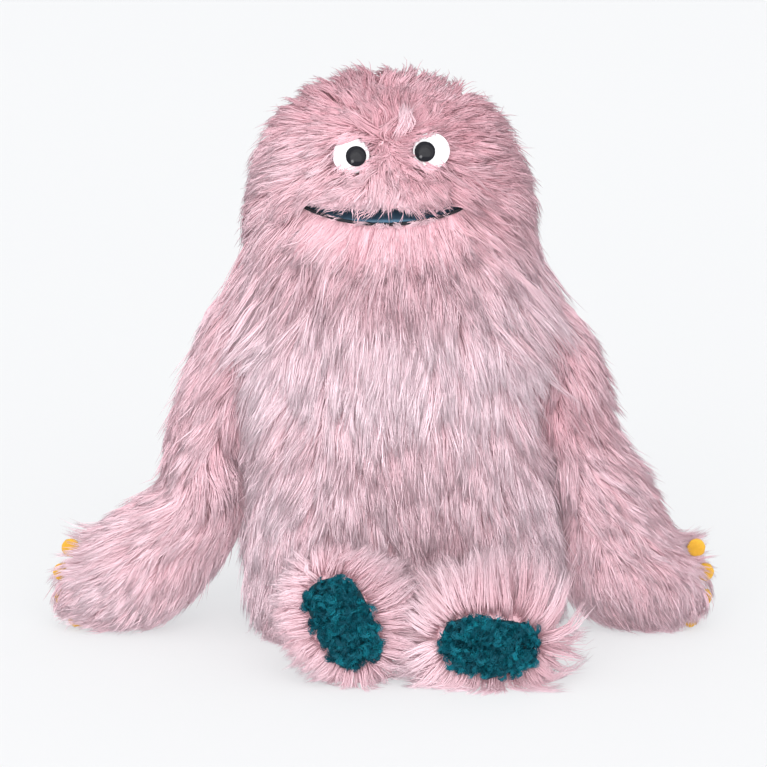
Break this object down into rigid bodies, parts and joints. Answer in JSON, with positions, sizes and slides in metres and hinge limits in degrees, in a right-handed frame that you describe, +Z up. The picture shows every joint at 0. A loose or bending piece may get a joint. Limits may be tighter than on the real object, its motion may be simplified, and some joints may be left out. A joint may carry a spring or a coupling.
{
  "type": "moving mouth puppet",
  "caption": "Seated long-pile fur monster hand puppet with a wide opening mouth, dangling arms and two short feet; an arm enters at the back and works the head.",
  "frame": {"origin": "centre of the flat underside of the seat, on the surface that the puppet sits on", "axes": "+Z up, -Y the way the face looks, +X to the right of someone looking at the face"},
  "size_m": [0.454, 0.2103, 0.379],
  "materials": {
    "pink_fur": "matte",
    "stuffing": "matte",
    "lining": "matte",
    "black_tape": "matte",
    "mouth_cloth": "matte",
    "board": "matte",
    "eye_white": "satin",
    "pupil": "gloss",
    "felt": "matte",
    "teal_pile": "matte"
  },
  "bodies": {
    "torso": {"torso_fur": "pink_fur", "seat_panel": "pink_fur", "torso_filling": "stuffing", "arm_sleeve": "lining", "back_opening_binding": "black_tape"},
    "neck": {"neck_fur": "pink_fur", "neck_lining": "lining"},
    "throat": {"throat_fur": "pink_fur", "throat_lining": "lining"},
    "head_base": {"nape_fur": "pink_fur", "palm_lining": "lining", "mouth_hinge": "mouth_cloth"},
    "head": {"head_fur": "pink_fur", "head_filling": "stuffing", "upper_palate_board": "board", "upper_mouth_lining": "mouth_cloth", "upper_lip_piping": "black_tape", "finger_strap": "black_tape", "left_eye": "eye_white", "right_eye": "eye_white", "left_pupil": "pupil", "right_pupil": "pupil", "eye_washers": "eye_white"},
    "jaw": {"chin_fur": "pink_fur", "jaw_filling": "stuffing", "lower_palate_board": "board", "lower_mouth_lining": "mouth_cloth", "lower_lip_piping": "black_tape", "thumb_strap": "black_tape"},
    "left_shoulder": {"left_shoulder_gusset": "pink_fur"},
    "left_upper_arm": {"left_upper_arm_fur": "pink_fur", "left_upper_arm_filling": "stuffing"},
    "left_forearm": {"left_forearm_fur": "pink_fur", "left_forearm_filling": "stuffing", "left_nails": "felt"},
    "left_hip": {"left_hip_gusset": "pink_fur"},
    "left_foot": {"left_foot_fur": "pink_fur", "left_foot_filling": "stuffing", "left_sole": "teal_pile"},
    "right_shoulder": {"right_shoulder_gusset": "pink_fur"},
    "right_upper_arm": {"right_upper_arm_fur": "pink_fur", "right_upper_arm_filling": "stuffing"},
    "right_forearm": {"right_forearm_fur": "pink_fur", "right_forearm_filling": "stuffing", "right_nails": "felt"},
    "right_hip": {"right_hip_gusset": "pink_fur"},
    "right_foot": {"right_foot_fur": "pink_fur", "right_foot_filling": "stuffing", "right_sole": "teal_pile"}
  },
  "joints": [
    {"name": "head_turn", "type": "hinge", "parent": "torso", "child": "neck", "pos_m": [0, 0, 0.228], "axis": [0, 0, 1], "range_deg": [-25, 25]},
    {"name": "head_tilt", "type": "hinge", "parent": "neck", "child": "throat", "pos_m": [0, 0, 0.24], "axis": [0, 1, 0], "range_deg": [-8, 8]},
    {"name": "head_nod", "type": "hinge", "parent": "throat", "child": "head_base", "pos_m": [0, 0, 0.258], "axis": [1, 0, 0], "range_deg": [-12, 15]},
    {"name": "upper_jaw_lift", "type": "hinge", "parent": "head_base", "child": "head", "pos_m": [0, 0, 0.303], "axis": [-1, 0, 0], "range_deg": [0, 25]},
    {"name": "lower_jaw_drop", "type": "hinge", "parent": "head_base", "child": "jaw", "pos_m": [0, 0, 0.303], "axis": [1, 0, 0], "range_deg": [0, 18]},
    {"name": "left_shoulder_swing", "type": "hinge", "parent": "torso", "child": "left_shoulder", "pos_m": [-0.097, 0, 0.216], "axis": [-1, 0, 0], "range_deg": [-30, 100]},
    {"name": "left_shoulder_lift", "type": "hinge", "parent": "left_shoulder", "child": "left_upper_arm", "pos_m": [-0.097, 0, 0.216], "axis": [0, 1, 0], "range_deg": [0, 95]},
    {"name": "left_elbow_bend", "type": "hinge", "parent": "left_upper_arm", "child": "left_forearm", "pos_m": [-0.127, 0, 0.128], "axis": [-0.9468, 0, 0.3219], "range_deg": [-5, 80]},
    {"name": "right_shoulder_swing", "type": "hinge", "parent": "torso", "child": "right_shoulder", "pos_m": [0.097, 0, 0.216], "axis": [-1, 0, 0], "range_deg": [-30, 100]},
    {"name": "right_shoulder_lift", "type": "hinge", "parent": "right_shoulder", "child": "right_upper_arm", "pos_m": [0.097, 0, 0.216], "axis": [0, -1, 0], "range_deg": [0, 95]},
    {"name": "right_elbow_bend", "type": "hinge", "parent": "right_upper_arm", "child": "right_forearm", "pos_m": [0.127, 0, 0.128], "axis": [-0.9468, 0, -0.3219], "range_deg": [-5, 80]},
    {"name": "left_hip_splay", "type": "hinge", "parent": "torso", "child": "left_hip", "pos_m": [-0.036, -0.072, 0.04], "axis": [0, 0, 1], "range_deg": [-25, 8]},
    {"name": "left_hip_swing", "type": "hinge", "parent": "left_hip", "child": "left_foot", "pos_m": [-0.036, -0.072, 0.04], "axis": [-1, 0, 0], "range_deg": [0, 50]},
    {"name": "right_hip_splay", "type": "hinge", "parent": "torso", "child": "right_hip", "pos_m": [0.046, -0.072, 0.032], "axis": [0, 0, 1], "range_deg": [-8, 25]},
    {"name": "right_hip_swing", "type": "hinge", "parent": "right_hip", "child": "right_foot", "pos_m": [0.046, -0.072, 0.032], "axis": [-1, 0, 0], "range_deg": [0, 50]}
  ]
}
